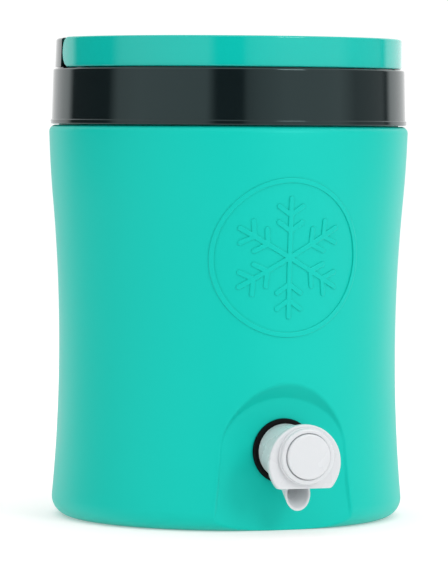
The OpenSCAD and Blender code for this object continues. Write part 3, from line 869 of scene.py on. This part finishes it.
@dataclass
class Tap:
    """The push-button tap: a gasket, a barrel with its shank and slanting spout, a flange plate with
    a flat foot, a stepped ring and a flat-faced button."""

    z: float = 0.046
    face: float = 0.0940
    gasket_t: float = 0.0025
    gasket_r: float = 0.0189
    barrel_len: float = 0.0290
    barrel_r: float = 0.0160
    bore_r: float = 0.0086
    shank_r: float = 0.0120
    shank_in: float = 0.0664
    plate_t: float = 0.0045
    plate_r: float = 0.0219
    plate_low: float = 0.0039
    foot_drop: float = 0.0187
    plate_floor: float = 0.0012
    cup_r: float = 0.0143
    ring_r: float = 0.0166
    ring_t: float = 0.0045
    ring_step: float = 0.0016
    ring_inset: float = 0.0006
    ring_lip_t: float = 0.0016
    ring_sink: float = 0.0005
    ring_bore: float = 0.01335
    button_r: float = 0.0130
    button_out: float = 0.0018
    skirt_in: float = 0.1311
    skirt_t: float = 0.0016
    skirt_out: float = 0.0010
    button_wall: float = 0.0022
    spout_r: float = 0.0077
    spout_bore: float = 0.0064
    spout_slope: float = math.radians(38)
    spout_back: float = 0.0175
    mouth_out: float = 0.1187
    mouth_drop: float = 0.0230

    def on_axis(self, outline: Array, columns: int = 96) -> Array:
        """Turns an outline of (radius, distance out) about the tap's axis, which points along -Y."""
        spun = turned(outline, columns)
        return np.stack([spun[..., 0], -spun[..., 2], self.z + spun[..., 1]], -1)

    def gasket(self, material: bpy.types.Material) -> None:
        """Makes the black gasket, whose outer edge is a full round."""
        t = self.gasket_t
        line = rounded([(self.shank_r, self.face), (self.gasket_r, self.face), (self.gasket_r, self.face + t),
                        (self.shank_r, self.face + t)], [0.0002, 0.0009, 0.0011, 0.0002], 6)
        make_piece("tap_gasket_ring", [Patch(self.on_axis(line), Wrap.BOTH)], material, Body.JUG,
                   ["tap_gasket"])

    def barrel(self, material: bpy.types.Material) -> None:
        """Makes the shank and barrel as one turned tube, and the spout as a slanting tube.

        The spout's axis falls at its slope. A point at angle a round it lies at radius r across X and
        the axis's own normal, and its row runs on until it meets the plane of the mouth.

        Args:
            material: Finish of the tap.
        """
        inner, outer = self.face + self.gasket_t, self.face + self.gasket_t + self.barrel_len
        line = rounded([(self.bore_r, self.shank_in), (self.shank_r, self.shank_in), (self.shank_r, inner),
                        (self.barrel_r, inner), (self.barrel_r, outer + 0.001), (self.bore_r, outer + 0.001)],
                       [0.0004, 0.0006, 0.0002, 0.0006, 0.0002, 0.0002], 5)
        a = np.linspace(0, 2 * np.pi, 72, endpoint=False)
        half = (self.spout_r - self.spout_bore) / 2
        lap = np.linspace(0, np.pi, 9)
        radius = np.concatenate([[self.spout_r], self.spout_bore + half + half * np.cos(lap),
                                 [self.spout_bore, self.spout_bore]])[:, None]
        plane = self.mouth_out - half + half * np.concatenate([[0], np.sin(lap), [0, 0]])[:, None]
        run = np.concatenate([[0.004], np.ones(9), [0.3, 0.004]])[:, None]
        cos, sin = math.cos(self.spout_slope), math.sin(self.spout_slope)
        root_out, root_drop = self.mouth_out - self.spout_back * cos, self.mouth_drop - self.spout_back * sin
        reach = (plane - root_out - radius * np.sin(a) * sin) / cos
        t = np.where(run < 1, run * reach, reach)
        spout = np.stack([radius * np.cos(a) + 0 * t,
                          -(root_out + t * cos + radius * np.sin(a) * sin),
                          self.z - root_drop - t * sin + radius * np.sin(a) * cos], -1)
        make_piece("tap_barrel", [Patch(self.on_axis(line), Wrap.BOTH), Patch(spout, Wrap.BOTH)],
                   material, Body.JUG, ["tap_body"])

    def plate_edge(self, a: Array) -> Array:
        """Distance from the tap's axis to the plate's outline at angle a.

        It is a circle whose centre lies below the axis, cut off at the foot's level, with the
        corners softened.

        Args:
            a: Angles in radians from +X.

        Returns:
            Distances.
        """
        sin, cos = np.sin(a), np.cos(a)
        d, r = self.plate_low, self.plate_r
        edge = -d * sin + np.sqrt(r * r - (d * cos) ** 2)
        foot = np.where(sin < -0.2, self.foot_drop / np.maximum(-sin, 0.2), 1.0)
        return soft_min(edge, foot, 0.0010)

    def plate(self, material: bpy.types.Material) -> None:
        """Makes the flange plate, with the cup that the button's skirt sinks into.

        Its outline is drawn in by the section's inset from both faces.
        """
        a = np.linspace(0, 2 * np.pi, 160, endpoint=False)
        edge = self.plate_edge(a)
        back = self.face + self.gasket_t + self.barrel_len
        front = back + self.plate_t
        line = rounded([(1.0, back), (0, back), (0, front), (1.0, front)], [0, 0.0008, 0.0011, 0], 6, closed=False)
        inset = line[1:-1, 0, None]
        cup = np.array([(self.cup_r, front), (self.cup_r, back + self.plate_floor),
                        (self.bore_r, back + self.plate_floor), (self.bore_r, back)])
        r = np.concatenate([edge - inset, cup[:, :1] + 0 * a])
        out = np.concatenate([line[1:-1, 1], cup[:, 1]])[:, None]
        plate = np.stack([r * np.cos(a), -(out + 0 * r), self.z + r * np.sin(a)], -1)
        make_piece("tap_plate", [Patch(plate, Wrap.BOTH)], material, Body.JUG, ["tap_flange"])

    def ring(self, material: bpy.types.Material) -> None:
        """Makes the ring round the button, with a small step where it meets the plate."""
        back = self.face + self.gasket_t + self.barrel_len + self.plate_t - self.ring_sink
        front = back + self.ring_sink + self.ring_t
        step, high_r = back + self.ring_step, self.ring_r - self.ring_inset
        cup, lip = self.ring_bore + self.skirt_out, front - self.ring_lip_t
        line = rounded([(cup, back), (self.ring_r, back), (self.ring_r, step), (high_r, step + 0.0003),
                        (high_r, front), (self.ring_bore, front), (self.ring_bore, lip), (cup, lip)],
                       [0.0002, 0.0002, 0.0003, 0.0002, 0.0011, 0.0004, 0.0002, 0.0002], 5)
        make_piece("tap_ring", [Patch(self.on_axis(line), Wrap.BOTH)], material, Body.JUG,
                   ["button_ring"])

    def button(self, material: bpy.types.Material) -> None:
        """Makes the button: a skirt behind the ring's lip, a straight side and a flat face."""
        face = self.face + self.gasket_t + self.barrel_len + self.plate_t + self.ring_t + self.button_out
        skirt, lip = self.skirt_in, self.skirt_in + self.skirt_t
        r, wide, hollow = self.button_r, self.button_r + self.skirt_out, self.button_r - self.button_wall
        line = rounded([(hollow, skirt), (wide, skirt), (wide, lip), (r, lip), (r, face), (0, face)],
                       [0, 0.0002, 0.0002, 0.0003, 0.0010, 0], 6, closed=False)
        under = np.array([(0, face - self.button_wall), (hollow, face - self.button_wall)])
        line = np.concatenate([under, line])
        make_piece("tap_push_button", [Patch(self.on_axis(line))], material, Body.PLUNGER,
                   ["tap_button"])


@dataclass
class ReturnSpring:
    """The coil spring behind the button. The real spring shortens as the button goes in; this mesh is built at one
    length.
    """

    z: float = 0.046
    coil_r: float = 0.0070
    wire_r: float = 0.00045
    low: float = 0.1235
    high: float = 0.1341
    turns: int = 6
    pressed_share: float = 0.6226

    def build(self, material: bpy.types.Material) -> None:
        """Carries a circle of wire along a helix with one flat turn at each end.

        Args:
            material: Finish of the wire.
        """
        share = np.linspace(0, 1, 48 * self.turns + 1)
        turn = 2 * np.pi * self.turns * share
        rise = ramp(share, 1 / (2 * self.turns), 1 - 1 / (2 * self.turns))
        out = self.low + self.wire_r + (self.high - self.low - 2 * self.wire_r) * rise
        b = np.linspace(0, 2 * np.pi, 10, endpoint=False)
        r = self.coil_r + self.wire_r * np.cos(b)[None] * np.ones((share.size, 1))
        wire = np.stack([r * np.cos(turn)[:, None], -(out[:, None] + self.wire_r * np.sin(b)),
                         self.z + r * np.sin(turn)[:, None]], -1)
        ends = [wire[:1].mean(1, keepdims=True) + 0 * wire[:1], wire[-1:].mean(1, keepdims=True) + 0 * wire[:1]]
        spring = make_piece("return_spring", [Patch(np.concatenate([ends[0], wire, ends[1]]))], material,
                            Body.JUG, ["tap_spring"])
        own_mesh(spring)


# ---------------------------------------------------------------- studio


@dataclass(frozen=True)
class Studio:
    """Camera, soft light and a pale floor.

    The light is a round of white screens with dark gaps between them, as bearings from the camera's
    side of the jug, under a bright ceiling, and one soft lamp high on the right.
    """

    bearing: float = math.radians(-20.3)
    distance: float = 2.212
    eye_z: float = 0.236
    pitch: float = math.radians(-2.52)
    swing: float = math.radians(0.054)
    roll: float = math.radians(0.38)
    lens: float = 234.0
    floor_r: float = 1.3
    floor_edge: float = 0.02
    floor_colour: tuple[float, float, float] = (0.82, 0.76, 0.76)
    floor_glow: tuple[float, float, float] = (1.0, 0.96, 0.96)
    floor_glow_level: float = 0.28
    lamp_place: tuple[float, float, float] = (0.68, -1.75, 0.98)
    lamp_aim: tuple[float, float, float] = (0, -0.05, 0.10)
    lamp_size: float = 0.6
    lamp_watts: float = 8.5
    ceiling: float = 1.24
    ceiling_from: float = 0.30
    ceiling_full: float = 0.75
    backdrop: float = 1.05
    screens: tuple[tuple[float, float], ...] = (
        (-180, 1.2), (-128, 1.1), (-121, 0.06), (-84, 0.05), (-76, 0.80), (-60, 0.98), (-14, 0.90), (-8, 0.03),
        (9, 0.03), (12, 0.50), (20, 0.70), (38, 0.93), (76, 0.93), (90, 0.42), (118, 0.40), (124, 0.06), (130, 1.2),
        (180, 1.2))

    def camera(self) -> None:
        """Places the camera on its bearing and turns it: heading, then pitch, then roll."""
        lens = bpy.data.cameras.new("camera")
        lens.lens, lens.sensor_width = self.lens, 36.0
        lens.clip_start, lens.clip_end = 0.05, 50.0
        eye = bpy.data.objects.new("camera", lens)
        bpy.context.scene.collection.objects.link(eye)
        place = Matrix.Translation(Vector((self.distance * math.sin(self.bearing),
                                           -self.distance * math.cos(self.bearing), self.eye_z)))
        turn = (Matrix.Rotation(self.bearing + self.swing, 4, "Z")
                @ Matrix.Rotation(math.pi / 2 + self.pitch, 4, "X") @ Matrix.Rotation(self.roll, 4, "Z"))
        eye.matrix_world = place @ turn
        bpy.context.scene.camera = eye

    def world(self) -> None:
        """Makes the screens: radiance by bearing round the jug, blended into a ceiling by height."""
        world = bpy.data.worlds.new("screens")
        bpy.context.scene.world = world
        world.use_nodes = True
        nodes, links = world.node_tree.nodes, world.node_tree.links
        nodes.clear()
        output = nodes.new("ShaderNodeOutputWorld")
        place = nodes.new("ShaderNodeTexCoord")
        turn = nodes.new("ShaderNodeMapping")
        turn.vector_type = "POINT"
        turn.inputs["Rotation"].default_value = (0, 0, -self.bearing)
        links.new(place.outputs["Generated"], turn.inputs["Vector"])
        split = nodes.new("ShaderNodeSeparateXYZ")
        links.new(turn.outputs["Vector"], split.inputs["Vector"])
        flip = nodes.new("ShaderNodeMath")
        flip.operation = "MULTIPLY"
        flip.inputs[1].default_value = -1.0
        links.new(split.outputs["Y"], flip.inputs[0])
        angle = nodes.new("ShaderNodeMath")
        angle.operation = "ARCTAN2"
        links.new(split.outputs["X"], angle.inputs[0])
        links.new(flip.outputs[0], angle.inputs[1])
        share = nodes.new("ShaderNodeMapRange")
        share.inputs["From Min"].default_value = -math.pi
        share.inputs["From Max"].default_value = math.pi
        links.new(angle.outputs[0], share.inputs["Value"])
        bands = nodes.new("ShaderNodeValToRGB")
        stops = bands.color_ramp.elements
        for index, (degrees, level) in enumerate(self.screens):
            where = (degrees / 180 + 1) / 2
            stop = stops[index] if index < 1 else (stops[-1] if index == len(self.screens) - 1 else stops.new(where))
            stop.position = where
            stop.color = (level, level, level, 1)
        links.new(share.outputs["Result"], bands.inputs["Fac"])
        up = nodes.new("ShaderNodeMapRange")
        up.interpolation_type = "SMOOTHSTEP"
        up.inputs["From Min"].default_value = self.ceiling_from
        up.inputs["From Max"].default_value = self.ceiling_full
        links.new(split.outputs["Z"], up.inputs["Value"])
        mix = nodes.new("ShaderNodeMix")
        mix.data_type = "RGBA"
        mix.inputs["B"].default_value = (self.ceiling, self.ceiling, self.ceiling, 1)
        links.new(up.outputs["Result"], mix.inputs["Factor"])
        links.new(bands.outputs["Color"], mix.inputs["A"])
        light = nodes.new("ShaderNodeBackground")
        links.new(mix.outputs["Result"], light.inputs["Color"])
        plain = nodes.new("ShaderNodeBackground")
        plain.inputs["Color"].default_value = (1, 1, 1, 1)
        plain.inputs["Strength"].default_value = self.backdrop
        path = nodes.new("ShaderNodeLightPath")
        choose = nodes.new("ShaderNodeMixShader")
        links.new(path.outputs["Is Camera Ray"], choose.inputs["Fac"])
        links.new(light.outputs["Background"], choose.inputs[1])
        links.new(plain.outputs["Background"], choose.inputs[2])
        links.new(choose.outputs["Shader"], output.inputs["Surface"])

    def lamp(self) -> None:
        """Hangs one large soft lamp high on the right, for the tap's soft shadow."""
        light = bpy.data.lights.new("soft_lamp", "AREA")
        light.shape, light.size, light.size_y = "RECTANGLE", self.lamp_size, self.lamp_size
        light.energy = self.lamp_watts
        lamp = bpy.data.objects.new("soft_lamp", light)
        bpy.context.scene.collection.objects.link(lamp)
        lamp.location = self.lamp_place
        aim = Vector(self.lamp_aim) - Vector(self.lamp_place)
        lamp.rotation_euler = aim.to_track_quat("-Z", "Y").to_euler()

    def floor(self) -> None:
        """Makes the pale floor as a turned disc with a rolled rim."""
        disc = rounded([(0, 0), (self.floor_r, 0), (self.floor_r, -self.floor_edge)], [0, 0.01, 0], 4, closed=False)
        disc = np.concatenate([[(0.0, 0.0)], np.stack([np.linspace(0.02, self.floor_r - 0.05, 60), np.zeros(60)], -1),
                               disc[1:]])
        points = turned(disc, 96)
        mesh = bpy.data.meshes.new("pale_floor")
        mesh.from_pydata(points.reshape(-1, 3).tolist(), [],
                         grid_quads(*points.shape[:2], Wrap.ROUND)[:, ::-1].tolist())
        mesh.shade_smooth()
        material = bpy.data.materials.new("pale_floor")
        material.use_nodes = True
        shader = material.node_tree.nodes["Principled BSDF"]
        shader.inputs["Base Color"].default_value = (*self.floor_colour, 1)
        shader.inputs["Roughness"].default_value = 0.9
        shader.inputs["Emission Color"].default_value = (*self.floor_glow, 1)
        shader.inputs["Emission Strength"].default_value = self.floor_glow_level
        mesh.materials.append(material)
        floor = bpy.data.objects.new("pale_floor", mesh)
        bpy.context.scene.collection.objects.link(floor)

    def build(self) -> None:
        """Makes the camera first, then the light and the floor, and keeps colours as they are."""
        self.camera()
        self.world()
        self.lamp()
        self.floor()
        bpy.context.scene.view_settings.view_transform = "Standard"
        LOG.info("studio: camera, screens, lamp and floor")


# ---------------------------------------------------------------- assembly


def dress_nodes(materials: dict[str, bpy.types.Material]) -> None:
    """Gives every CAD node that stays in view the finish of its slot in the record.

    Args:
        materials: Finishes by slot name.
    """
    slots = {part["node"]: part["material_slot"] for part in frame["record"]["subparts"]}
    for name, node in frame["nodes"].items():
        material = materials[slots[name]]
        node.data.materials.clear()
        node.data.materials.append(material)
        LOG.info("%s: finish %s", name, slots[name])


def main() -> None:
    """Builds the studio, the finishes and each sub-assembly in order."""
    logging.basicConfig(level=logging.INFO, format="%(name)s %(message)s")
    Studio().build()
    materials = {finish.name: finish.build() for finish in FINISHES}
    dress_nodes(materials)
    shell = OuterShell()
    shell.build(materials[BODY_TURQUOISE.name])
    FrostMark(shell).build(materials[BODY_TURQUOISE.name])
    Collar().build(materials[COLLAR_CHARCOAL.name])
    Bail().build(materials[HANDLE_TURQUOISE.name])
    Lid().build(materials[BODY_TURQUOISE.name])
    tap = Tap()
    tap.gasket(materials[SEAL_BLACK.name])
    tap.barrel(materials[TAP_WHITE.name])
    tap.plate(materials[TAP_WHITE.name])
    tap.ring(materials[TAP_WHITE.name])
    tap.button(materials[TAP_WHITE.name])
    ReturnSpring().build(materials[SPRING_STEEL.name])


if __name__ == "__main__":
    main()
